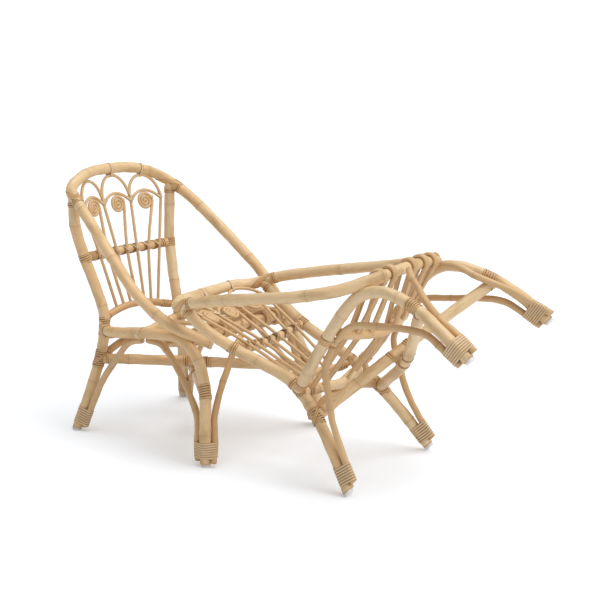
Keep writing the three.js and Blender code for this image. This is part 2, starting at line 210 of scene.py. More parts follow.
def to_frame(place, points):
    """Points of a chair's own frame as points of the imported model."""
    matrix = np.array(place)
    return np.asarray(points) @ matrix[:3, :3].T + matrix[:3, 3]


# Routes and poles, in metres in a chair's own frame

def route(shares, side=1):
    """Shares of the depth, half width and height as points on one side of the chair."""
    s = sizes()
    return [np.array((x * s.depth, side * y * s.half_width, z * s.height)) for x, y, z in shares]


def across(shares):
    """A half route becomes a whole one, from left to right."""
    return route(shares) + route(shares[:-1], -1)[::-1]


def spline(points, spacing=0.0015):
    """A smooth line through the points, sampled closely."""
    p = np.asarray(points, float)
    ends = np.vstack([2 * p[0] - p[1], p, 2 * p[-1] - p[-2]])
    out = []
    for i in range(len(p) - 1):
        a, b, c, d = ends[i:i + 4]
        n = max(2, math.ceil(np.linalg.norm(c - b) / spacing))
        t = (np.arange(n) / n)[:, None]
        out.append(0.5 * (2 * b + (c - a) * t + (2 * a - 5 * b + 4 * c - d) * t ** 2
                          + (3 * b - a - 3 * c + d) * t ** 3))
    out.append(p[-1:])
    return np.vstack(out)


def unit(v):
    return v / np.maximum(np.linalg.norm(v, axis=-1, keepdims=True), 1e-12)


# No pole starts in this direction, so it gives every pole a first sideways direction
FIRST_UP = (0.3, 0.2, 1)


def normals_along(tangents):
    """Sideways directions that don't twist along the line."""
    out = [unit(np.cross(tangents[0], FIRST_UP))]
    for t in tangents[1:]:
        out.append(unit(out[-1] - t * np.dot(t, out[-1])))
    return np.array(out)


def lengths_along(points):
    """How far along a line each of its points lies."""
    steps = np.linalg.norm(np.diff(points, axis=0), axis=1)
    return np.concatenate([[0], np.cumsum(steps)])


class Pole:
    """A bent pole: its middle line, its lengths along it and its directions."""

    def __init__(self, points, diameter):
        self.line = spline(points)
        self.radius = diameter / 2
        self.lengths = lengths_along(self.line)
        self.tangents = unit(np.gradient(self.line, axis=0))
        self.normals = normals_along(self.tangents)

    def spread(self, values, at):
        return np.stack([np.interp(at, self.lengths, values[:, i]) for i in range(3)], -1)

    def frame(self, at):
        """Point, tangent, normal and binormal at lengths along the pole, also past its ends."""
        at = np.asarray(at, float)
        point = self.spread(self.line, at)
        tangent = unit(self.spread(self.tangents, at))
        normal = self.spread(self.normals, at)
        normal = unit(normal - tangent * np.sum(normal * tangent, -1, keepdims=True))
        past = np.minimum(at, 0) + np.maximum(at - self.lengths[-1], 0)
        return point + tangent * past[..., None], tangent, normal, np.cross(tangent, normal)

    def nearest(self, point):
        """Length at which the pole comes nearest to a point."""
        return self.lengths[np.argmin(np.linalg.norm(self.line - point, axis=1))]

    def at_height(self, z):
        """Length at which the lower part of the pole passes a height."""
        from_foot = range(len(self.line) - 1, -1, -1)
        return self.lengths[min(from_foot, key=lambda i: abs(self.line[i, 2] - z))]


def beside_leg(points, leg):
    """A rod beside a leg: its foot lies against the leg's."""
    s = sizes()
    sole = leg.line[-1]
    points[-1] = sole + unit(points[-1] - sole) * ((s.frame_pole + s.arch_rod) / 2 + s.clearance)
    return points


def under_rail(points, rail):
    """A rod of a side arch: its top lies against the rail from below."""
    s = sizes()
    above = rail.line[np.argmin(np.abs(rail.line[:, 0] - points[0][0]))]
    reach = (s.frame_pole + s.arch_rod) / 2 + s.clearance
    points[0][2] = above[2] - math.sqrt(reach ** 2 - (above[1] - points[0][1]) ** 2)
    return points


def chair_poles():
    """All the poles and arch rods of a chair, by the names of their nodes."""
    s = sizes()
    poles = {"arm_hoop": Pole(route(ARM[:-1] + [LEFT_ARM_END])[::-1] + route(ARM[1:], -1), s.frame_pole)}
    for word, side in SIDES:
        post = poles[f"{word}_back_post"] = Pole(route(POST, side), s.frame_pole)
        rail = poles[f"{word}_side_rail"] = Pole(route(SIDE_RAIL, side), s.frame_pole)
        points = route(STRETCHER[:2], side) + route(STRETCHER[2:], -side)
        points[1][2] -= side * (s.stretcher + s.clearance) / 2
        poles[f"{word}_stretcher"] = Pole(points, s.stretcher)
        for node, shares, leg in (("rear", REAR_ARCH, post), ("side", SIDE_ARCH, rail)):
            points = under_rail(beside_leg(route(shares, side), leg), rail)
            poles[f"{word}_{node}_arch_rod"] = Pole(points, s.arch_rod)
        poles[f"{word}_front_arch_rod"] = Pole(beside_leg(route(FRONT_ARCHES[word], side), rail), s.arch_rod)
    poles["front_rail"] = Pole(across(FRONT_RAIL), s.front_rail)
    poles["rear_rail"] = Pole(across(REAR_RAIL), s.seat_rail)
    poles["middle_rail"] = Pole(across(MIDDLE_RAIL), s.seat_rail)
    poles["back_rail"] = Pole(across(BACK_RAIL), s.back_rail)
    poles["back_crossbar"] = Pole(across(CROSSBAR), s.crossbar)
    poles["rear_brace"] = Pole(across(REAR_BRACE), s.rear_brace)
    return poles


# Meshes

class Shape:
    """Vertices, faces and the values that the finishes read, gathered for one piece."""

    def __init__(self):
        self.verts, self.faces, self.slots = [], [], []
        self.grain, self.mark, self.tones = [], [], []
        self.count = 0

    def skin(self, rings, grain, mark, tone=0.0, closed=False, cap_slot=1):
        """Quads between rings of points, and one face over each end of an open tube."""
        count, sides = rings.shape[:2]
        index = self.count + np.arange(count * sides).reshape(count, sides)
        turn = np.roll(index, -1, 1)
        if closed:
            quads = np.stack([index, turn, np.roll(turn, -1, 0), np.roll(index, -1, 0)], -1)
        else:
            quads = np.stack([index[:-1], turn[:-1], turn[1:], index[1:]], -1)
        quads = quads.reshape(-1, 4).tolist()
        self.faces += quads
        self.slots += [0] * len(quads)
        if not closed:
            self.faces += [index[0, ::-1].tolist(), index[-1].tolist()]
            self.slots += [cap_slot] * 2
        self.verts.append(rings.reshape(-1, 3))
        self.grain.append(grain.reshape(-1, 3))
        self.mark.append(mark.reshape(-1))
        self.tones.append(np.repeat(np.broadcast_to(tone, count), sides))
        self.count += count * sides

    def build(self, name, place, finishes, tone=0.5):
        """The piece as an object, with its place in its mesh."""
        mesh = bpy.data.meshes.new(name)
        verts = to_frame(place, np.vstack(self.verts))
        mesh.from_pydata(verts.tolist(), [], self.faces)
        for material in finishes:
            mesh.materials.append(material)
        mesh.polygons.foreach_set("material_index", self.slots)
        mesh.polygons.foreach_set("use_smooth", [len(face) == 4 for face in self.faces])
        tones = np.clip(np.concatenate(self.tones) + tone, 0, 1)
        for key, kind, field, values in (("grain", 'FLOAT_VECTOR', "vector", np.vstack(self.grain).ravel()),
                                         ("mark", 'FLOAT', "value", np.concatenate(self.mark)),
                                         ("tone", 'FLOAT', "value", tones)):
            mesh.attributes.new(key, kind, 'POINT').data.foreach_set(field, values)
        mesh.update()
        return placed(name, mesh)


def placed(name, data):
    """A new object of the scene."""
    obj = bpy.data.objects.new(name, data)
    bpy.context.collection.objects.link(obj)
    return obj


def seeded(*words):
    """A random generator that gives the same draws for the same piece."""
    return np.random.default_rng([ord(c) for c in "".join(words)])


def any_angle(rng, count=None):
    """Any direction round a pole, or several of them."""
    return rng.uniform(0, 6.28, count)


def any_shift(rng):
    """A place of its own in the pattern of the grain, in metres."""
    return rng.uniform(0, 9)


def surface_grain(first, second, lengths, shape):
    """What the finishes read as grain: two measures across the surface and one along it."""
    return np.stack([np.broadcast_to(first, shape), np.broadcast_to(second, shape),
                     np.broadcast_to(lengths[:, None], shape)], -1)


# Leaf nodes, in metres along a pole: the place of the first, and from each to the next
FIRST_NODE = (0.03, 0.14)
INTERNODE = (0.14, 0.21)

# On a ringed pole: how far the end nodes lie from the ends, and how far the others keep from them
END_NODE = 0.008
END_CLEAR = 0.04

# Rings of points: their spacing, the stretch that they leave free beside a leaf node, and the rings there
RING_SPACING = 0.006
NODE_CLEAR = 0.0075
NODE_RINGS = (0, 0.0012, 0.0028, 0.006)

# Heights and reaches of the narrow and the wide bulge of a leaf node, and the most that a gap to one counts
NODE_SWELLS = ((0.0005, 0.0022), (0.0003, 0.012))
FAR_FROM_NODE = 0.08

# Unevenness: its height, and its waves in radians for each metre along a pole and in turns round it
WAVER = 0.00016
WAVES = ((31, 0), (57, 1), (83, 2), (140, 3), (22, 2), (200, 1))

# Width of the bevel at a pole's ends, and its length as a share of that
BEVEL = 0.0007
BEVEL_SLOPE = 0.6

# The most that the tone between two leaf nodes differs from the pole's tone
TONE_SPREAD = 0.3


def leaf_nodes(rng, end, total, ringed):
    """Where the leaf nodes of a pole lie. A ringed pole is cut just past a node at each end."""
    nodes = []
    at = rng.uniform(*FIRST_NODE)
    while at < end:
        nodes.append(at)
        at += rng.uniform(*INTERNODE)
    if ringed:
        inner = [node for node in nodes if END_CLEAR < node < total - END_CLEAR]
        nodes = [END_NODE, *inner, total - END_NODE]
    return nodes


def ring_places(nodes, start, end):
    """Where the rings of points of a pole lie: evenly, and close together at its leaf nodes."""
    places = list(np.linspace(start, end, max(3, round(end / RING_SPACING))))
    for node in nodes:
        places = [at for at in places if abs(at - node) > NODE_CLEAR]
        places += [node + sign * step for step in NODE_RINGS for sign in (-1, 1)]
    return np.unique(np.round([at for at in places if start <= at <= end], 6))


def add_pole(shape, pole, rng, sides, foot=None, ringed=False, trim=(0, 0)):
    """A bent pole with its leaf nodes, slight unevenness and, above a glide, a level foot.

    A trimmed pole starts and ends short of its line, where it butts on its neighbours.
    """
    total = pole.lengths[-1]
    end = total - trim[1] if foot is None else pole.at_height(foot)
    nodes = leaf_nodes(rng, end, total, ringed)
    places = ring_places(nodes, trim[0], end)
    point, tangent, normal, binormal = pole.frame(places)
    angle = np.arange(sides) * 2 * math.pi / sides
    cos, sin = np.cos(angle), np.sin(angle)
    gap = np.min([np.abs(places - node) for node in nodes] + [np.full(len(places), FAR_FROM_NODE)], axis=0)
    swell = sum(height * np.exp(-(gap / reach) ** 2) for height, reach in NODE_SWELLS)
    phase = any_angle(rng, len(WAVES))
    uneven = sum(WAVER * np.sin(places[:, None] * along + phase[i] + angle[None] * around)
                 for i, (along, around) in enumerate(WAVES))
    radius = pole.radius + swell[:, None] + uneven
    out = cos[:, None] * normal[:, None] + sin[:, None] * binormal[:, None]
    rings = point[:, None] + radius[..., None] * out
    if foot is not None:
        drop = (rings[-1, :, 2] - foot) / tangent[-1, 2]
        rings[-1] -= tangent[-1] * drop[:, None]
    # A small bevel at both ends. A level foot keeps its height
    inset = 1 - BEVEL / pole.radius
    first = point[0] + (rings[0] - point[0]) * inset - tangent[0] * BEVEL * BEVEL_SLOPE
    last = point[-1] + (rings[-1] - point[-1]) * inset
    if foot is None:
        last = last + tangent[-1] * BEVEL * BEVEL_SLOPE
    rings = np.concatenate([first[None], rings, last[None]])
    places = np.concatenate([places[:1], places, places[-1:]])
    gap = np.concatenate([gap[:1], gap, gap[-1:]])
    # Between two leaf nodes the bark keeps one tone
    tones = rng.uniform(-TONE_SPREAD, TONE_SPREAD, len(nodes) + 1)[np.searchsorted(nodes, places)]
    grain = surface_grain(cos * pole.radius + any_shift(rng), sin * pole.radius, places, rings.shape[:2])
    shape.skin(rings, grain, np.broadcast_to(gap[:, None], rings.shape[:2]), tones)


# Section of the peel, as shares of its width and thickness
PEEL_SECTION = np.array(((-0.5, 0.1), (-0.36, 0.8), (0, 1), (0.36, 0.8), (0.5, 0.1), (0, -0.15)))

# Turns side by side: the gap between two of them, and the points of each
TURN_GAP = 0.0003
TURN_STEPS = 30

# Slanting turns: their points, their pitch in widths, and how many widths they keep clear of the pole there
SLANT_STEPS = 36
SLANT_PITCH = 1.06
SLANT_MARGIN = 0.2

# A rod is wound in where it passes this near to the plane of a turn. Its place there is the one with
# the least distance along the pole, with this share of the whole distance added
MEMBER_REACH = 0.004
AWAY_SHARE = 0.3


def add_strip(shape, points, normals, width, rng, closed=False):
    """A strip of cane peel that lies with its flat side on a surface."""
    if closed:
        tangents = unit(np.roll(points, -1, 0) - np.roll(points, 1, 0))
    else:
        tangents = unit(np.gradient(points, axis=0))
    normals = unit(normals - tangents * np.sum(normals * tangents, -1, keepdims=True))
    sideways = np.cross(tangents, normals)
    aside, up = PEEL_SECTION[:, 0] * width, PEEL_SECTION[:, 1] * sizes().peel_thickness
    rings = points[:, None] + aside[:, None] * sideways[:, None] + up[:, None] * normals[:, None]
    grain = surface_grain(aside + any_shift(rng), up, lengths_along(points), rings.shape[:2])
    # How far from the strip's middle: the peel finishes darken the edges with painted shade
    mark = np.broadcast_to(np.abs(aside) / width * 2, rings.shape[:2])
    shape.skin(rings, grain, mark, closed=closed, cap_slot=0)


def hull_points(host, at, angle, members=(), lift=0.0):
    """Points on the tight hull round the host pole and the members beside it."""
    point, tangent, normal, binormal = host.frame(at)
    out = np.cos(angle)[:, None] * normal + np.sin(angle)[:, None] * binormal
    best = np.full(len(at), host.radius)
    centre = np.zeros_like(point)
    radius = np.full(len(at), host.radius)
    rows = np.arange(len(at))
    for member in members:
        along = np.einsum('kmi,ki->km', member.line[None] - point[:, None], tangent)
        away = np.linalg.norm(member.line[None] - point[:, None], axis=2)
        pick = np.argmin(np.abs(along) + AWAY_SHARE * away, axis=1)
        beside = member.line[pick] - tangent * along[rows, pick][:, None] - point
        reach = np.sum(beside * out, 1) + member.radius
        reach[np.abs(along[rows, pick]) > MEMBER_REACH] = -1
        closer = reach > best
        best = np.where(closer, reach, best)
        centre[closer] = beside[closer]
        radius[closer] = member.radius
    return point + centre + out * (radius + lift)[:, None], out


def add_winding(shape, host, start, stop, rng, members=(), turns=None, width=None):
    """Turns of peel side by side round a pole, or round a pole and the rods beside it."""
    width = width or sizes().peel_width
    start, stop = start + width / 2, stop - width / 2
    count = (stop - start) / (width + TURN_GAP) if turns is None else turns
    k = np.arange(int(count * TURN_STEPS) + 1)
    angle = k / TURN_STEPS * 2 * math.pi + any_angle(rng)
    at = start + (stop - start) * k / max(1, k[-1])
    points, out = hull_points(host, at, angle, members)
    add_strip(shape, points, out, width, rng)


def add_slant(shape, host, at, toward, reach, rng, count, side, lift=0.0):
    """Slanting turns side by side over a joint, clear of the pole that meets the host there."""
    width = sizes().peel_width
    _, _, normal, binormal = host.frame(np.array([at]))
    aim = math.atan2(float(np.dot(toward, binormal[0])), float(np.dot(toward, normal[0])))
    angle = np.arange(SLANT_STEPS) * 2 * math.pi / SLANT_STEPS
    swing = reach + width * (count / 2 + SLANT_MARGIN)
    for i in range(count):
        along = at + side * swing * np.cos(angle - aim) + (i - (count - 1) / 2) * width * SLANT_PITCH
        points, out = hull_points(host, along, angle, lift=lift)
        add_strip(shape, points, out, width, rng, closed=True)


# Nodes and finishes

def put(tree, kind, settings=None, inputs=None):
    """A node of a kind: its settings first, then the values or links of its sockets."""
    node = tree.nodes.new(kind)
    for key, value in (settings or {}).items():
        setattr(node, key, value)
    for key, value in (inputs or {}).items():
        feed(tree, node.inputs[key], value)
    return node


def feed(tree, socket, value):
    """Links a socket to another one, or gives it a value."""
    if isinstance(value, Wire):
        value = value.socket
    if isinstance(value, bpy.types.NodeSocket):
        tree.links.new(value, socket)
    elif socket.type == 'RGBA' and len(value) == 3:
        socket.default_value = (*value, 1)
    else:
        socket.default_value = value


class Wire:
    """A socket of a shader tree. Sums and products on it add Math nodes."""

    def __init__(self, tree, socket):
        self.tree, self.socket = tree, socket

    def math(self, operation, a, b, clamp=False):
        node = put(self.tree, 'ShaderNodeMath', {"operation": operation, "use_clamp": clamp}, {0: a, 1: b})
        return Wire(self.tree, node.outputs[0])

    def __add__(self, other):
        return self.math('ADD', self, other)

    def __radd__(self, other):
        return self.math('ADD', other, self)

    def __sub__(self, other):
        return self.math('SUBTRACT', self, other)

    def __rsub__(self, other):
        return self.math('SUBTRACT', other, self)

    def __mul__(self, other):
        return self.math('MULTIPLY', self, other)

    def __rmul__(self, other):
        return self.math('MULTIPLY', other, self)

    def __truediv__(self, other):
        return self.math('DIVIDE', self, other)

    def clamped(self):
        return self.math('ADD', self, 0.0, clamp=True)

    def above(self, limit, gain):
        """0 up to a limit, and from there rising to 1 by a gain."""
        return ((self - limit) * gain).clamped()

    def near(self, reach):
        """1 at zero, falling to 0 at a reach."""
        return (1 - self / reach).clamped()


class Finish:
    """A material and the nodes that make it."""

    def __init__(self, name):
        self.material = bpy.data.materials.new(name)
        self.material.use_nodes = True
        self.tree = self.material.node_tree
        self.shader = self.tree.nodes["Principled BSDF"]

    def value(self, kind, settings=None, inputs=None, output=0):
        """One output of a new node, ready for sums."""
        return Wire(self.tree, put(self.tree, kind, settings, inputs).outputs[output])

    def attribute(self, name, output="Fac"):
        return self.value('ShaderNodeAttribute', {"attribute_name": name}, output=output)

    def coordinates(self):
        return self.value('ShaderNodeTexCoord', output="Object")

    def scaled(self, vector, factors):
        return self.value('ShaderNodeVectorMath', {"operation": 'MULTIPLY'}, {0: vector, 1: factors})

    def noise(self, vector, scale, detail):
        return self.value('ShaderNodeTexNoise', None, {"Vector": vector, "Scale": scale, "Detail": detail})

    def mix(self, factor, a, b):
        return self.value('ShaderNodeMix', {"data_type": 'RGBA'}, {0: factor, 6: a, 7: b}, output=2)

    def bump(self, height, strength, distance):
        return self.value('ShaderNodeBump', None,
                          {"Height": height, "Strength": strength, "Distance": distance})

    def set(self, **values):
        for key, value in values.items():
            feed(self.tree, self.shader.inputs[key.replace("_", " ")], value)
        return self.material


def rattan_finish(name, base, pale, patch_share):
    """Satin bark: fine streaks along the pole, greyer patches, flecks and dark leaf nodes."""
    c = colours()
    f = Finish(name)
    grain = f.attribute("grain", "Vector")
    gap = f.attribute("mark")
    streak = f.noise(f.scaled(grain, (1, 1, 0.04)), scale=1300, detail=3)
    cloud = f.noise(f.scaled(grain, (1, 1, 0.3)), scale=48, detail=2)
    fleck = f.noise(f.scaled(grain, (1, 1, 0.2)), scale=480, detail=2)
    ring = gap.near(0.0018)
    halo = gap.near(0.011)
    patch = cloud.above(0.5, 6)
    colour = f.mix(f.attribute("tone"), base, pale)
    colour = f.mix(patch * patch_share, colour, c.skin)
    colour = f.mix(streak.above(0.42, 3) * 0.3, colour, c.skin)
    colour = f.mix(fleck.above(0.62, 7) * 0.4, colour, c.node)
    colour = f.mix(ring * 0.25 + halo * 0.1, colour, c.node)
    height = streak * 0.5 + ring * 0.5 + cloud * 0.3
    return f.set(Base_Color=colour, Roughness=0.42 + patch * 0.14, Normal=f.bump(height, 0.35, 0.0004),
                 Specular_IOR_Level=0.4, Coat_Weight=0.06, Coat_Roughness=0.35)


def peel_finish(name, base, light, edge_shade_share):
    """Wound peel: glossy strips, with painted shade at their edges where one turn meets the next."""
    c = colours()
    f = Finish(name)
    grain = f.attribute("grain", "Vector")
    edge = f.attribute("mark")
    streak = f.noise(f.scaled(grain, (1, 1, 0.04)), scale=2200, detail=2)
    cloud = f.noise(grain, scale=70, detail=2)
    colour = f.mix(cloud.above(0.4, 3) * 0.5, base, light)
    # Darker streaks along the peel's grain
    colour = f.mix(streak.above(0.4, 3) * 0.2, colour, c.peel_grain_and_gap_shade)
    # Painted shade at the edges of the strips, in the gaps between the turns
    colour = f.mix(edge.above(0.45, 2.2) * edge_shade_share, colour, c.peel_grain_and_gap_shade)
    return f.set(Base_Color=colour, Roughness=0.42, Normal=f.bump(streak, 0.3, 0.0003),
                 Coat_Weight=0.1, Coat_Roughness=0.3)


def cut_finish():
    """The cut end of a pole: pale pith with open pores."""
    c = colours()
    f = Finish("cut_end")
    pore = f.noise(f.coordinates(), scale=1500, detail=2)
    colour = f.mix(pore.above(0.52, 6) * 0.6, c.cut, c.node)
    return f.set(Base_Color=colour, Roughness=0.75, Normal=f.bump(pore, 0.5, 0.0004))


def plastic_finish():
    """Plain white moulded plastic, faintly uneven."""
    c = colours()
    f = Finish("moulded_plastic")
    haze = f.noise(f.coordinates(), scale=160, detail=3)
    colour = f.mix(haze * 0.2, c.plastic, c.cane)
    return f.set(Base_Color=colour, Roughness=0.42 + haze * 0.15, Normal=f.bump(haze, 0.1, 0.0002))


def finish(name):
    """A finish by name, made when it is first asked for."""
    if name not in bpy.data.materials:
        c = colours()
        makers = {
            "rattan_pole": lambda: rattan_finish("rattan_pole", c.pole, c.pale, 0.55),
            "thin_cane": lambda: rattan_finish("thin_cane", c.cane_dark, c.cane, 0.2),
            # For each peel, the last number is how strongly painted shade darkens the edges of its strips
            "wound_peel": lambda: peel_finish("wound_peel", c.peel, c.cane, 0.9),
            "foot_peel": lambda: peel_finish("foot_peel", c.cane, c.band, 0.55),
            "pale_band": lambda: peel_finish("pale_band", c.band, c.cane, 0.5),
            "cut_end": cut_finish,
            "moulded_plastic": plastic_finish,
        }
        makers[name]()
    return bpy.data.materials[name]


# Geometry Nodes: trees for canes that follow a path and for glides

def new_tree(name, inputs):
    """A tree that takes a mesh and the named inputs, and gives a mesh."""
    tree = bpy.data.node_groups.new(name, 'GeometryNodeTree')
    for label, kind in (("Geometry", "Geometry"), *inputs.items()):
        tree.interface.new_socket(label, in_out='INPUT', socket_type='NodeSocket' + kind)
    tree.interface.new_socket("Geometry", in_out='OUTPUT', socket_type='NodeSocketGeometry')
    return tree


def end_tree(tree, geometry, material):
    """Ends a tree in real, dressed geometry."""
    whole = put(tree, 'GeometryNodeRealizeInstances', None, {"Geometry": geometry})
    dressed = put(tree, 'GeometryNodeSetMaterial', None,
                  {"Geometry": whole.outputs[0], "Material": material})
    put(tree, 'NodeGroupOutput', None, {0: dressed.outputs[0]})
    return tree


# Canes: the points round them, the spacing, height and reach of their leaf nodes, their waves in each
# metre, how far their radius wavers, and their tone
CANE_SIDES = 10
CANE_NODE_SPACING = 0.16
CANE_NODE_SWELL = 1.07
CANE_NODE_REACH = 0.004
CANE_WAVES = 30.0
CANE_UNEVENNESS = 0.09
CANE_TONE = 0.7


def cane_tree():
    """Round canes along the splines of the input mesh, with the values that their finish reads."""
    if "cane_along_path" in bpy.data.node_groups:
        return bpy.data.node_groups["cane_along_path"]
    tree = new_tree("cane_along_path", {
        "Radius": "Float", "Sides": "Int", "Node spacing": "Float", "Unevenness": "Float", "Tone": "Float",
        "Seed": "Int", "Material": "Material"})

    def add(kind, settings=None, inputs=None):
        return put(tree, kind, settings, inputs)

    def maths(operation, a, b):
        return add('ShaderNodeMath', {"operation": operation}, {0: a, 1: b}).outputs[0]

    given = add('NodeGroupInput').outputs
    curve = add('GeometryNodeMeshToCurve', None, {"Mesh": given["Geometry"]})
    length = add('GeometryNodeSplineParameter').outputs["Length"]
    # Each spline starts at another place between two leaf nodes
    index = add('GeometryNodeInputIndex').outputs[0]
    shift = add('FunctionNodeRandomValue', {"data_type": 'FLOAT'}, {"Seed": given["Seed"], "ID": index})
    on_spline = add('GeometryNodeFieldOnDomain', {"data_type": 'FLOAT', "domain": 'CURVE'},
                    {0: shift.outputs[1]}).outputs[0]
    shifted = maths('ADD', length, on_spline)
    gap = maths('PINGPONG', shifted, maths('MULTIPLY', given["Node spacing"], 0.5))
    # The radius swells at a leaf node and wavers a little
    swell = add('ShaderNodeMapRange', None, {"Value": gap, "From Min": 0.0, "From Max": CANE_NODE_REACH,
                                             "To Min": CANE_NODE_SWELL, "To Max": 1.0})
    where = add('ShaderNodeCombineXYZ', None, {0: shifted, 1: on_spline})
    waver = add('ShaderNodeTexNoise', None, {"Vector": where.outputs[0], "Scale": CANE_WAVES, "Detail": 1.0})
    waver = add('ShaderNodeMapRange', {"clamp": False},
                {"Value": waver.outputs[0], "To Min": -0.5, "To Max": 0.5})
    scale = maths('ADD', swell.outputs[0], maths('MULTIPLY', waver.outputs[0], given["Unevenness"]))
    kept = add('GeometryNodeCaptureAttribute', {"domain": 'POINT'})
    for label in ("Length", "Gap", "Scale"):
        kept.capture_items.new('FLOAT', label)
    for key, value in ((0, curve.outputs[0]), ("Length", shifted), ("Gap", gap), ("Scale", scale)):
        feed(tree, kept.inputs[key], value)
    circle = add('GeometryNodeCurvePrimitiveCircle', {"mode": 'RADIUS'},
                 {"Resolution": given["Sides"], "Radius": given["Radius"]})
    profile = add('GeometryNodeCaptureAttribute', {"domain": 'POINT'})
    profile.capture_items.new('VECTOR', "Around")
    feed(tree, profile.inputs[0], circle.outputs[0])
    feed(tree, profile.inputs["Around"], add('GeometryNodeInputPosition').outputs[0])
    tube = add('GeometryNodeCurveToMesh', None, {
        "Curve": kept.outputs[0], "Profile Curve": profile.outputs[0], "Scale": kept.outputs["Scale"],
        "Fill Caps": True})
    around = add('ShaderNodeSeparateXYZ', None, {0: profile.outputs["Around"]}).outputs
    grain = add('ShaderNodeCombineXYZ', None, {0: around[0], 1: around[1], 2: kept.outputs["Length"]})
    out = tube.outputs[0]
    for name, kind, value in (("grain", 'FLOAT_VECTOR', grain.outputs[0]),
                              ("mark", 'FLOAT', kept.outputs["Gap"]), ("tone", 'FLOAT', given["Tone"])):
        store = add('GeometryNodeStoreNamedAttribute', {"data_type": kind, "domain": 'POINT'},
                    {"Geometry": out, "Name": name, "Value": value})
        out = store.outputs[0]
    smooth = add('GeometryNodeSetShadeSmooth', None, {"Geometry": out})
    return end_tree(tree, smooth.outputs[0], given["Material"])


def glide_tree():
    """A turned glide on each point of the input mesh."""
    if "glide_on_foot" in bpy.data.node_groups:
        return bpy.data.node_groups["glide_on_foot"]
    tree = new_tree("glide_on_foot", {"Glide": "Object", "Turn": "Rotation", "Material": "Material"})
    given = put(tree, 'NodeGroupInput').outputs
    glide = put(tree, 'GeometryNodeObjectInfo', None, {"Object": given["Glide"]})
    copies = put(tree, 'GeometryNodeInstanceOnPoints', None, {
        "Points": given["Geometry"], "Instance": glide.outputs["Geometry"], "Rotation": given["Turn"]})
    return end_tree(tree, copies.outputs[0], given["Material"])


def baked(name, mesh, tree, values):
    """The mesh that a tree makes of a mesh, as a plain object."""
    source = placed(name + "_path", mesh)
    modifier = source.modifiers.new("Nodes", 'NODES')
    modifier.node_group = tree
    sockets = {item.name: item.identifier for item in tree.interface.items_tree if item.in_out == 'INPUT'}
    for label, value in values.items():
        modifier[sockets[label]] = value
    graph = bpy.context.evaluated_depsgraph_get()
    result = bpy.data.meshes.new_from_object(source.evaluated_get(graph))
    result.name = name
    bpy.data.objects.remove(source)
    return placed(name, result)


def canes(name, place, lines, radius, seed):
    """Thin canes along lines given in a chair's own frame."""
    mesh = bpy.data.meshes.new(name + "_lines")
    verts, edges = [], []
    for line in lines:
        start = len(verts)
        verts += to_frame(place, line).tolist()
        edges += [(i, i + 1) for i in range(start, len(verts) - 1)]
    mesh.from_pydata(verts, edges, [])
    return baked(name, mesh, cane_tree(), {
        "Radius": radius, "Sides": CANE_SIDES, "Node spacing": CANE_NODE_SPACING,
        "Unevenness": CANE_UNEVENNESS, "Tone": CANE_TONE, "Seed": seed, "Material": finish("thin_cane")})


# The back lattice and the seat, in a chair's own frame

# Spacing of the points on straight rods, on scrolls and arches, and on the seat's canes
ROD_SPACING = 0.004
CURL_SPACING = 0.003
HAIRPIN_SPACING = 0.012

# Points that shape each turn of a scroll, and steps that shape an arch
SCROLL_STEPS = 20
ARCH_STEPS = 16

# A seat cane bends round the front rail from this angle above its front to the same angle below, in degrees
LOOP_ANGLE = 100
LOOP_STEP = 10


def rail_point(pole, y):
    """The middle of a rail that crosses the chair from left to right, at the sideways place y."""
    i = int(np.clip(np.searchsorted(-pole.line[:, 1], -y), 1, len(pole.line) - 1))
    a, b = pole.line[i - 1], pole.line[i]
    return a + (b - a) * (a[1] - y) / (a[1] - b[1])


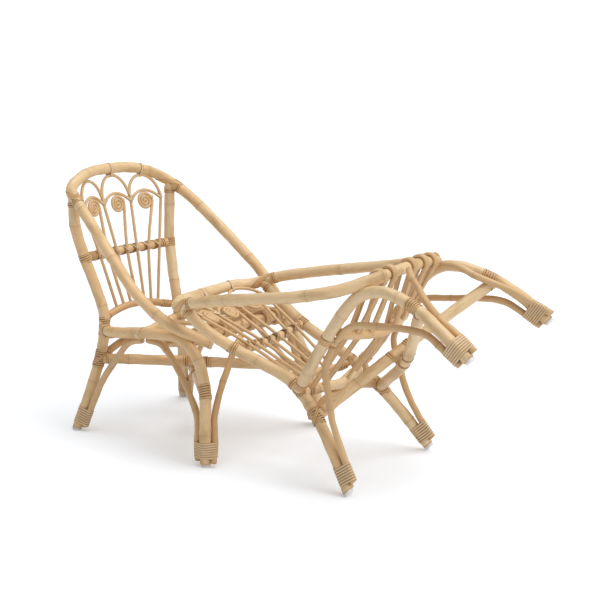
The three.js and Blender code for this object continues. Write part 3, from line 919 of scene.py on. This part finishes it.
class Lattice:
    """The gently bowed surface of the back: in front of the crossbar, then up under the top rail."""

    def __init__(self, poles):
        self.bar, self.bottom = poles["back_crossbar"], poles["back_rail"]
        self.top = Pole(route(TOP_RAIL)[::-1] + route(TOP_RAIL[1:], -1), sizes().frame_pole)

    def point(self, y_share, z_share):
        s = sizes()
        y, z = y_share * s.half_width, z_share * s.height
        bar = rail_point(self.bar, y)
        bar[0] += (s.crossbar + s.lattice_rod) / 2 + s.clearance
        end = rail_point(self.top if z > bar[2] else self.bottom, y)
        return np.array((bar[0] + (end[0] - bar[0]) * (z - bar[2]) / (end[2] - bar[2]), y, z))

    def stem(self, i):
        """A rod's points on the lower rail and on the crossbar."""
        return [self.point(ROD_BOTTOMS[i], BACK_RAIL[-1][2]), self.point(ROD_BARS[i], CROSSBAR[1][2])]

    def straight(self, i):
        return spline([*self.stem(i), self.point(ROD_TOPS[i], FORK_HEIGHT)], ROD_SPACING)

    def scroll(self, i):
        """A rod that winds inwards to the middle of its scroll."""
        s = sizes()
        radius = (s.scroll - s.lattice_rod) / 2
        turns = radius / s.scroll_pitch
        curl = []
        for k in range(round(turns * SCROLL_STEPS) + 1):
            angle = 2 * math.pi * k / SCROLL_STEPS
            r = radius - s.scroll_pitch * k / SCROLL_STEPS
            y = ROD_TOPS[i] - (radius - r * math.cos(angle)) / s.half_width
            curl.append(self.point(y, SCROLL_HEIGHT + r * math.sin(angle) / s.height))
        return spline(self.stem(i) + curl, CURL_SPACING)

    def arch(self, left, right, peak, power):
        """An arch between two forks."""
        points = []
        for k in range(ARCH_STEPS + 1):
            angle = math.pi * k / ARCH_STEPS
            rise = math.sin(angle) ** power
            points.append(self.point(left + (right - left) * (1 - math.cos(angle)) / 2,
                                     FORK_HEIGHT + (peak - FORK_HEIGHT) * rise))
        return spline(points, CURL_SPACING)

    def lines(self):
        rods = [self.scroll(i) if i % 2 else self.straight(i) for i in range(len(ROD_TOPS))]
        return rods + self.large_arches() + self.small_arches()

    def large_arches(self):
        return [self.arch(left, right, peak, LARGE_ARCH_POWER)
                for left, right, peak in zip(FORKS, FORKS[1:], ARCH_PEAKS)]

    def small_arches(self):
        """They rest on the scrolls, whose turns have drawn in by a quarter pitch at the top."""
        s = sizes()
        over_scroll = SCROLL_HEIGHT + ((s.scroll + s.lattice_rod) / 2 - s.scroll_pitch / 4) / s.height
        return [self.arch(left, right, over_scroll, SMALL_ARCH_POWER)
                for left, right in zip(FORKS, FORKS[1:])]


def straight_runs(corners, spacing):
    """The corners with points between them where they are far apart."""
    out = []
    for a, b in zip(corners, corners[1:]):
        steps = max(1, round(np.linalg.norm(b - a) / spacing))
        out += [a + (b - a) * k / steps for k in range(steps)]
    return np.array(out + [corners[-1]])


def hairpin(poles, y):
    """One seat cane: over the middle rail, round the front rail and back below."""
    s = sizes()
    rear, middle, front = (rail_point(poles[name], y) for name in ("rear_rail", "middle_rail", "front_rail"))
    lift = (s.seat_rail + s.seat_rod) / 2 + s.clearance
    wrap = (s.front_rail + s.seat_rod) / 2 + s.clearance
    corners = [rear + (s.seat_rail / 2 + s.clearance, 0, 0), middle + (0, 0, lift - s.seat_rod / 2)]
    for degrees in range(LOOP_ANGLE, -LOOP_ANGLE - 1, -LOOP_STEP):
        turn = math.radians(degrees)
        corners.append(front + (wrap * math.cos(turn), 0, wrap * math.sin(turn)))
    corners.append(middle + (s.seat_rail / 2, 0, -s.seat_rod / 2))
    return straight_runs(corners, HAIRPIN_SPACING)


def seat_lines(poles):
    """The seat's canes, in pairs that lie side by side."""
    s = sizes()
    apart = s.seat_rod / 2 + s.clearance
    return [hairpin(poles, share * s.half_width + side * apart) for share in LOOPS for side in (-1, 1)]


# Operators

def dress(obj, chair, slot, *nodes):
    """Ties a finished piece to its chair and hides the parts of the imported model that it stands for. The
    slot is not used.
    """
    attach(obj, f"{chair}_chair")
    if nodes:
        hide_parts(*[f"{chair}_{node}" for node in nodes])


# How far a pole starts and ends short of its line, where it butts on a post or a leg
TRIMS = {"back_crossbar": (0.009, 0.009), "front_rail": (0.004, 0.004), "back_rail": (0.008, 0.008),
         "left_side_rail": (0.01, 0), "right_side_rail": (0.01, 0),
         "left_stretcher": (0.008, 0.008), "right_stretcher": (0.008, 0.008)}

# Points round a pole: more if its radius is over this one
THICK_RADIUS = 0.009
THICK_SIDES = 18
THIN_SIDES = 14

# The range of the poles' tones, from dark at 0 to pale at 1
POLE_TONES = (0.15, 0.9)

# Height at which the bracing rods stop above the floor
ROD_END = 0.01

# Numbers that start the random values of the canes, one higher for each chair
LATTICE_SEED = 3
SEAT_SEED = 7


def make_pole(chair, poles, node, slot="frame_pole", foot=None, stands=True):
    """One pole of a chair. The rail that belongs to the seat's own node stands for no node."""
    rng = seeded(chair, node)
    shape = Shape()
    sides = THICK_SIDES if poles[node].radius > THICK_RADIUS else THIN_SIDES
    add_pole(shape, poles[node], rng, sides, foot, ringed=node == "arm_hoop", trim=TRIMS.get(node, (0, 0)))
    tone = rng.uniform(*POLE_TONES)
    skin = "rattan_pole" if slot == "frame_pole" else "thin_cane"
    obj = shape.build(f"{chair}_{node}_shape", place_of(chair), [finish(skin), finish("cut_end")], tone)
    dress(obj, chair, slot, *([node] if stands else []))


def make_peel(shape, chair, name, skin, *nodes):
    """Wound peel of a chair as one piece."""
    obj = shape.build(f"{chair}_{name}", place_of(chair), [finish(skin)])
    dress(obj, chair, "cane_peel", *nodes)


class RATTAN_OT_frame_poles(bpy.types.Operator):
    """Bends the arm hoop, the back posts and the side rails of both chairs"""

    bl_idname = "rattan.frame_poles"
    bl_label = "Frame poles"

    def execute(self, context):
        foot = sizes().glide_height + sizes().clearance
        for chair in CHAIRS:
            poles = chair_poles()
            make_pole(chair, poles, "arm_hoop")
            for word, _ in SIDES:
                make_pole(chair, poles, f"{word}_back_post", foot=foot)
                make_pole(chair, poles, f"{word}_side_rail", foot=foot)
        return {'FINISHED'}


class RATTAN_OT_cross_rails(bpy.types.Operator):
    """Lays the rails of the seat and the back, the crossbar, the brace and the stretchers"""

    bl_idname = "rattan.cross_rails"
    bl_label = "Rails and stretchers"

    def execute(self, context):
        for chair in CHAIRS:
            poles = chair_poles()
            for node in ("front_rail", "rear_rail", "back_crossbar", "left_stretcher", "right_stretcher"):
                make_pole(chair, poles, node)
            for node in ("back_rail", "rear_brace"):
                make_pole(chair, poles, node, slot="cane_rod")
            make_pole(chair, poles, "middle_rail", stands=False)
        return {'FINISHED'}


class RATTAN_OT_arch_rods(bpy.types.Operator):
    """Bends the rods that brace the legs at the sides and the front"""

    bl_idname = "rattan.arch_rods"
    bl_label = "Arch rods"

    def execute(self, context):
        for chair in CHAIRS:
            poles = chair_poles()
            for word, _ in SIDES:
                for rod in ("rear_arch_rod", "side_arch_rod", "front_arch_rod"):
                    make_pole(chair, poles, f"{word}_{rod}", slot="cane_rod", foot=ROD_END)
        return {'FINISHED'}


class RATTAN_OT_back_lattice(bpy.types.Operator):
    """Fills the back with canes, scrolls and arches"""

    bl_idname = "rattan.back_lattice"
    bl_label = "Back lattice"

    def execute(self, context):
        radius = sizes().lattice_rod / 2
        for seed, chair in enumerate(CHAIRS, LATTICE_SEED):
            lines = Lattice(chair_poles()).lines()
            obj = canes(f"{chair}_back_lattice_shape", place_of(chair), lines, radius, seed)
            dress(obj, chair, "cane_rod", "back_lattice")
        return {'FINISHED'}


class RATTAN_OT_seat(bpy.types.Operator):
    """Hangs the seat's hairpins from the rear rail to the front rail"""

    bl_idname = "rattan.seat"
    bl_label = "Seat canes"

    def execute(self, context):
        radius = sizes().seat_rod / 2
        for seed, chair in enumerate(CHAIRS, SEAT_SEED):
            lines = seat_lines(chair_poles())
            obj = canes(f"{chair}_seat_strands_shape", place_of(chair), lines, radius, seed)
            dress(obj, chair, "cane_rod", "seat_strands")
        return {'FINISHED'}


# Turns of a foot binding
FOOT_TURNS = 7

# Turns and finish of the band round the tops of the side arches
ARCH_BANDS = {"upright": (2, "pale_band"), "tipped": (3, "wound_peel")}


class RATTAN_OT_foot_bindings(bpy.types.Operator):
    """Winds peel round each foot and the rods beside it, and round the tops of the side arches"""

    bl_idname = "rattan.foot_bindings"
    bl_label = "Foot and arch bindings"

    low: size_property("Low", "Height of the lower edge of a foot binding", 0.016)
    width: size_property("Width", "Width of a foot binding", 0.041)
    arch_width: size_property("Arch width", "Width of a side arch's band", 0.019)

    def execute(self, context):
        for chair in CHAIRS:
            poles = chair_poles()
            for word, _ in SIDES:
                post, rail = poles[f"{word}_back_post"], poles[f"{word}_side_rail"]
                rear, side, front = (poles[f"{word}_{rod}_arch_rod"] for rod in ("rear", "side", "front"))
                self.foot(chair, f"{word}_rear_foot_binding", post, (rear,))
                self.foot(chair, f"{word}_front_foot_binding", rail, (side, front))
                self.arch(chair, f"{word}_arch_binding", rail, (rear, side))
        return {'FINISHED'}

    def foot(self, chair, node, leg, rods):
        shape = Shape()
        start, stop = leg.at_height(self.low + self.width), leg.at_height(self.low)
        add_winding(shape, leg, start, stop, seeded(chair, node), rods, turns=FOOT_TURNS,
                    width=self.width / (FOOT_TURNS + 0.5))
        make_peel(shape, chair, f"{node}_peel", "foot_peel", node)

    def arch(self, chair, node, rail, rods):
        """The band round a side rail and the tops of the two rods that meet under it."""
        shape = Shape()
        middle = rail.nearest((rods[0].line[0] + rods[1].line[0]) / 2)
        turns, skin = ARCH_BANDS[chair]
        add_winding(shape, rail, middle - self.arch_width / 2, middle + self.arch_width / 2,
                    seeded(chair, node), rods, turns=turns, width=self.arch_width / turns)
        make_peel(shape, chair, f"{node}_peel", skin, node)


# Where the windings of the joints start and stop, in metres along a pole from the joint
SPANS = {"post_top": (0.014, 0.03), "narrow_band": (-0.008, 0.008), "crossbar_joint": (-0.012, 0.012),
         "above_seat": (-0.028, -0.012), "seat_corner": (-0.011, 0.018), "rail_start": (0.013, 0.034),
         "knee": (-0.02, 0.022), "stretcher_start": (0.014, 0.022), "stretcher_end": (-0.024, -0.014),
         "front_leg": (-0.034, 0.002)}

# From the hoop's corner and from the stretchers' crossing to the narrow bands beside them
HOOP_BAND_SHIFT = 0.03
CROSSING_SHIFT = 0.022

# Width of the peel at the start of a side rail and at the knee
RAIL_START_PEEL = 0.0068
KNEE_PEEL = 0.0048

# Share of the stretcher's radius that the slanting turns at the knee reach round, and how far they lie
# over the turns below them, in thicknesses of the peel
KNEE_REACH = 0.6
LAID_OVER = 0.8

# The samples of a post and of a stretcher that show which way they leave their joint
POST_AIM = 5
STRETCHER_AIM = 3

# Windings on the ends of the rails: their start, and their stop for each rail
RAIL_PEEL_START = 0.013
RAIL_PEEL_REACH = {"back_crossbar": 0.036, "back_rail": 0.042, "rear_rail": 0.034, "rear_brace": 0.026}

# The bands that tie large arches to the hoop: the number of the arch, their width and their turns
HOOP_BANDS = ((1, 0.015, 2), (2, 0.007, 1))

# The shaved ends of the arches: their length, their points, how deep they lie in the cane, and their width
# as a share of the cane's
TAB_LENGTH = 0.016
TAB_STEPS = 6
TAB_SUNK = 0.0006
TAB_WIDTH = 0.95

# A lashing's strands: their width as a share of the peel's, their points, and their rise at a crossing in
# thicknesses of the peel. Then in their own widths: how far they lie from the lashing's middle, and how far
# they swing past the rod
LASH_WIDTH = 0.8
LASH_STEPS = 72
LASH_RISE = 0.9
LASH_SPREAD = 0.55
LASH_SWING = 1.4


def facing_forward(tangent):
    """The direction square to a line that points to the front of the chair."""
    return unit(np.array((1.0, 0, 0)) - tangent * tangent[:, :1])


class RATTAN_OT_joint_bindings(bpy.types.Operator):
    """Binds the joints of the frame with peel"""

    bl_idname = "rattan.joint_bindings"
    bl_label = "Joint bindings"

    def execute(self, context):
        for chair in CHAIRS:
            poles = chair_poles()
            rng = seeded(chair, "joints")
            for word, side in SIDES:
                self.side_joints(chair, poles, word, side, rng)
            self.rail_ends(chair, poles, rng)
            self.bar_lashings(chair, poles, rng)
            self.bands_and_tabs(chair, poles, rng)
        return {'FINISHED'}

    def bind(self, shape, host, at, name, rng, **choices):
        """Turns round a pole over a named span about a length along it."""
        start, stop = SPANS[name]
        add_winding(shape, host, at + start, at + stop, rng, **choices)

    def side_joints(self, chair, poles, word, side, rng):
        """The joints of one post and one side rail."""
        hoop, bar = poles["arm_hoop"], poles["back_crossbar"]
        post, rail = poles[f"{word}_back_post"], poles[f"{word}_side_rail"]
        shape = Shape()
        # The post's top below the hoop, and slanting strips round the hoop's corner
        self.bind(shape, post, 0, "post_top", rng)
        corner = hoop.nearest(post.line[0])
        add_slant(shape, hoop, corner, post.tangents[POST_AIM], post.radius, rng, count=4, side=side)
        self.bind(shape, hoop, corner - side * HOOP_BAND_SHIFT, "narrow_band", rng)
        # The crossbar's end
        at = post.nearest(bar.line[0] if side > 0 else bar.line[-1])
        self.bind(shape, post, at, "crossbar_joint", rng)
        # The seat corner: the post above and at the side rail, and the rail's start
        at = post.nearest(rail.line[0])
        self.bind(shape, post, at, "above_seat", rng)
        self.bind(shape, post, at, "seat_corner", rng)
        self.bind(shape, rail, 0, "rail_start", rng, width=RAIL_START_PEEL, turns=3)
        # The knee over the stretcher's rear end and the brace
        stretcher = poles[f"{word}_stretcher"]
        at = post.nearest(stretcher.line[0])
        self.bind(shape, post, at, "knee", rng, members=(stretcher,), width=KNEE_PEEL)
        add_slant(shape, post, at, stretcher.tangents[STRETCHER_AIM], stretcher.radius * KNEE_REACH, rng,
                  count=2, side=side, lift=sizes().peel_thickness * LAID_OVER)
        self.bind(shape, stretcher, 0, "stretcher_start", rng)
        # The front end of the stretcher that comes from the other side
        other = poles["right_stretcher" if side > 0 else "left_stretcher"]
        self.bind(shape, rail, rail.nearest(other.line[-1]), "front_leg", rng)
        self.bind(shape, other, other.lengths[-1], "stretcher_end", rng)
        make_peel(shape, chair, f"{word}_joint_peel", "wound_peel")

    def rail_ends(self, chair, poles, rng):
        """Turns on the rails' ends and on both sides of the place where the stretchers cross."""
        shape = Shape()
        for node, reach in RAIL_PEEL_REACH.items():
            rail = poles[node]
            add_winding(shape, rail, RAIL_PEEL_START, reach, rng)
            add_winding(shape, rail, rail.lengths[-1] - reach, rail.lengths[-1] - RAIL_PEEL_START, rng)
        left, right = poles["left_stretcher"], poles["right_stretcher"]
        for pole, other in ((left, right), (right, left)):
            apart = np.linalg.norm(pole.line[:, None] - other.line[None, ::4], axis=2).min(1)
            crossing = pole.lengths[np.argmin(apart)]
            for at in (crossing - CROSSING_SHIFT, crossing + CROSSING_SHIFT):
                self.bind(shape, pole, at, "narrow_band", rng)
        make_peel(shape, chair, "cross_peel", "wound_peel")

    def bar_lashings(self, chair, poles, rng):
        """Peel crosses over the crossbar at each rod of the back."""
        s = sizes()
        bar = poles["back_crossbar"]
        shape = Shape()
        for share in ROD_BARS:
            at = bar.nearest(rail_point(bar, share * s.half_width))
            self.lash(shape, bar, at, s.lattice_rod / 2, rng)
        make_peel(shape, chair, "bar_lashings", "foot_peel")

    def bands_and_tabs(self, chair, poles, rng):
        """The bands that tie two arches to the hoop, and the shaved ends of the arches at the forks."""
        rod = sizes().lattice_rod
        shape = Shape()
        lattice = Lattice(poles)
        arches = lattice.large_arches()
        hoop = poles["arm_hoop"]
        for i, width, turns in HOOP_BANDS:
            at = hoop.nearest(arches[i][np.argmax(arches[i][:, 2])])
            add_winding(shape, hoop, at - width / 2, at + width / 2, rng, (Pole(arches[i], rod),),
                        turns=turns, width=width / turns)
        for line in arches + lattice.small_arches():
            cane = Pole(line, rod)
            for start, stop in ((0, TAB_LENGTH), (cane.lengths[-1] - TAB_LENGTH, cane.lengths[-1])):
                point, tangent, _, _ = cane.frame(np.linspace(start, stop, TAB_STEPS))
                front = facing_forward(tangent)
                add_strip(shape, point + front * (rod / 2 - TAB_SUNK), front, rod * TAB_WIDTH, rng)
        make_peel(shape, chair, "pale_bands", "pale_band")

    def lash(self, shape, bar, at, rod, rng):
        """Strands in a figure of eight: crosswise over the rod in front of the bar, level behind the bar."""
        s = sizes()
        width = s.peel_width * LASH_WIDTH
        turn = np.arange(LASH_STEPS) * 4 * math.pi / LASH_STEPS - math.pi
        facing = np.abs((turn + math.pi) % (2 * math.pi) - math.pi)
        # The strand leaves the bar on its way over the rod
        rod_front = bar.radius + 2 * rod + s.clearance
        leaves = math.atan2(rod, rod_front) + math.acos(bar.radius / math.hypot(rod, rod_front - rod / 3))
        taut = np.minimum(bar.radius / np.cos(leaves - facing), rod_front / np.maximum(np.cos(facing), 0.1))
        # The second of its crossings lies on the first
        over = s.peel_thickness * LASH_RISE * (1 - np.cos(turn / 2)) / 2
        reach = np.where(facing < leaves, taut, bar.radius) + over
        for spread in (-LASH_SPREAD, LASH_SPREAD):
            along = at + (rod + width * LASH_SWING) * np.sin(turn / 2) + spread * width
            point, tangent, _, _ = bar.frame(along)
            front = facing_forward(tangent)
            up = np.cross(tangent, front)
            up *= np.sign(up[:, 2:])
            out = np.cos(turn)[:, None] * front + np.sin(turn)[:, None] * up
            add_strip(shape, point + out * reach[:, None], out, width, rng, closed=True)


# Points round a glide, and the bevel at its top
GLIDE_SIDES = 32
GLIDE_RIM = 0.0006


class RATTAN_OT_glides(bpy.types.Operator):
    """Sets a white glide under each leg"""

    bl_idname = "rattan.glides"
    bl_label = "Glides"

    sole: size_property("Sole", "Radius of the flat sole", GLIDE_SOLE)
    edge: size_property("Edge", "Height of the rounded edge", 0.0015)

    def execute(self, context):
        pattern = self.pattern()
        nodes = [f"{word}_{end}_glide" for word, _ in SIDES for end in ("rear", "front")]
        for chair in CHAIRS:
            place = place_of(chair)
            feet = [route(shares, side)[-1] for shares in (POST, SIDE_RAIL) for _, side in SIDES]
            mesh = bpy.data.meshes.new(f"{chair}_feet")
            mesh.from_pydata(to_frame(place, feet).tolist(), [], [])
            obj = baked(f"{chair}_glides_shape", mesh, glide_tree(), {
                "Glide": pattern, "Turn": place.to_euler(), "Material": finish("moulded_plastic")})
            dress(obj, chair, "glide_plastic", *nodes)
        bpy.data.objects.remove(pattern)
        return {'FINISHED'}

    def pattern(self):
        """One turned glide that stands on the origin."""
        s = sizes()
        radius = s.glide / 2
        outline = [(self.sole, 0)]
        for degrees in (20, 45, 70):
            turn = math.radians(degrees)
            outline.append((self.sole + (radius - self.sole) * math.sin(turn),
                            self.edge * (1 - math.cos(turn))))
        outline += [(radius, self.edge), (radius, s.glide_height - GLIDE_RIM),
                    (radius - GLIDE_RIM, s.glide_height)]
        angle = np.arange(GLIDE_SIDES) * 2 * math.pi / GLIDE_SIDES
        rings = np.array([[(r * math.cos(a), r * math.sin(a), z) for a in angle] for r, z in outline])
        shape = Shape()
        shape.skin(rings, rings, rings[..., 2], cap_slot=0)
        return shape.build("glide_pattern", Matrix.Identity(4), [finish("moulded_plastic")])


# Where each lamp shines from, and the angle over which its light is spread, in degrees
KEY_LAMP = ((0.3, 0.5, 3.0), 50)
FILL_LAMP = ((2.6, 0.4, 1.6), 35)

# The edges of the floor's squares, and the glow that the camera sees on it
FLOOR_STEPS = (-60.0, -8.0, 0.0, 8.0, 60.0)
FLOOR_GLOW = 0.24

# The camera: its place from the upright chair's origin, its own directions, the width of its sensor in
# millimetres and how far it sees
CAMERA_PLACE = (2.407, -2.528, 1.027)
CAMERA_RIGHT = (0.7884, 0.6152, 0.0082)
CAMERA_UP = (-0.1326, 0.1569, 0.9787)
CAMERA_BACK = (0.6008, -0.7726, 0.2053)
SENSOR_WIDTH = 36
CLIP_END = 200


class RATTAN_OT_studio(bpy.types.Operator):
    """Sets up the pale floor, the soft lamps and the camera"""

    bl_idname = "rattan.studio"
    bl_label = "Studio"

    def execute(self, context):
        studio = context.scene.rattan_studio
        self.floor()
        self.world(studio.ambient)
        self.lamp("key_lamp", *KEY_LAMP, studio.key)
        self.lamp("fill_lamp", *FILL_LAMP, studio.fill)
        self.camera(studio.lens)
        context.scene.view_settings.view_transform = 'Standard'
        return {'FINISHED'}

    def floor(self):
        """A wide floor that keeps the shadow and is white where nothing shades it."""
        mesh = bpy.data.meshes.new("floor")
        n = len(FLOOR_STEPS)
        verts = [(x, y, 0.0) for y in FLOOR_STEPS for x in FLOOR_STEPS]
        faces = [(j * n + i, j * n + i + 1, (j + 1) * n + i + 1, (j + 1) * n + i)
                 for j in range(n - 1) for i in range(n - 1)]
        mesh.from_pydata(verts, [], faces)
        obj = placed("floor", mesh)
        f = Finish("studio_floor")
        f.set(Base_Color=colours().floor, Roughness=0.9, Specular_IOR_Level=0.1)
        path = put(f.tree, 'ShaderNodeLightPath').outputs
        seen = Wire(f.tree, path["Is Camera Ray"]) + Wire(f.tree, path["Is Glossy Ray"])
        plain = f.shader.outputs[0]
        glow = f.value('ShaderNodeEmission', None, {"Color": (1, 1, 1, 1), "Strength": FLOOR_GLOW})
        both = f.value('ShaderNodeAddShader', None, {0: plain, 1: glow})
        pick = f.value('ShaderNodeMixShader', None, {0: seen.clamped(), 1: plain, 2: both})
        feed(f.tree, f.tree.nodes["Material Output"].inputs[0], pick)
        mesh.materials.append(f.material)

    def world(self, ambient):
        """Even light all round, and white where the camera looks past the floor."""
        world = bpy.data.worlds.new("studio")
        bpy.context.scene.world = world
        world.use_nodes = True
        tree = world.node_tree
        sky = tree.nodes["Background"]
        feed(tree, sky.inputs[0], (1, 1, 1, 1))
        feed(tree, sky.inputs[1], ambient)
        white = put(tree, 'ShaderNodeBackground', None, {0: (1, 1, 1, 1), 1: 1.0})
        seen = put(tree, 'ShaderNodeLightPath').outputs["Is Camera Ray"]
        pick = put(tree, 'ShaderNodeMixShader', None, {0: seen, 1: sky.outputs[0], 2: white.outputs[0]})
        feed(tree, tree.nodes["World Output"].inputs[0], pick.outputs[0])

    def lamp(self, name, place, spread, strength):
        """A distant soft light, so that the whole floor is lit alike."""
        light = bpy.data.lights.new(name, 'SUN')
        light.angle = math.radians(spread)
        light.energy = strength
        obj = placed(name, light)
        obj.location = place
        obj.rotation_euler = (-Vector(place)).to_track_quat('-Z', 'Y').to_euler()

    def camera(self, lens):
        data = bpy.data.cameras.new("camera")
        data.lens = lens
        data.sensor_width = SENSOR_WIDTH
        data.clip_end = CLIP_END
        obj = placed("camera", data)
        turn = Matrix((CAMERA_RIGHT, CAMERA_UP, CAMERA_BACK)).transposed().to_4x4()
        origin = upright_place().translation
        obj.matrix_world = Matrix.Translation(origin + Vector(CAMERA_PLACE)) @ turn
        bpy.context.scene.camera = obj


OPERATORS = (RATTAN_OT_frame_poles, RATTAN_OT_cross_rails, RATTAN_OT_arch_rods, RATTAN_OT_back_lattice,
             RATTAN_OT_seat, RATTAN_OT_foot_bindings, RATTAN_OT_joint_bindings, RATTAN_OT_glides,
             RATTAN_OT_studio)


class RATTAN_PT_panel(bpy.types.Panel):
    """Lists the pieces of the chairs, their sizes and their colours"""

    bl_idname = "RATTAN_PT_panel"
    bl_label = "Rattan armchairs"
    bl_space_type = 'VIEW_3D'
    bl_region_type = 'UI'
    bl_category = "Rattan"

    def draw(self, context):
        layout = self.layout
        for operator in OPERATORS:
            layout.operator(operator.bl_idname)
        for name in GROUPS:
            layout.label(text=name.split("_")[1].capitalize())
            group = getattr(context.scene, name)
            for field in group.__annotations__:
                layout.prop(group, field)


GROUPS = {"rattan_sizes": RattanSizes, "rattan_colours": RattanColours, "rattan_studio": RattanStudio}


def register():
    for cls in (*GROUPS.values(), *OPERATORS, RATTAN_PT_panel):
        bpy.utils.register_class(cls)
    for name, group in GROUPS.items():
        setattr(bpy.types.Scene, name, bpy.props.PointerProperty(type=group))


def unregister():
    for name in GROUPS:
        delattr(bpy.types.Scene, name)
    for cls in reversed((*GROUPS.values(), *OPERATORS, RATTAN_PT_panel)):
        bpy.utils.unregister_class(cls)


def main():
    register()
    for operator in OPERATORS:
        group, name = operator.bl_idname.split(".")
        getattr(getattr(bpy.ops, group), name)()


if __name__ == "__main__":
    main()
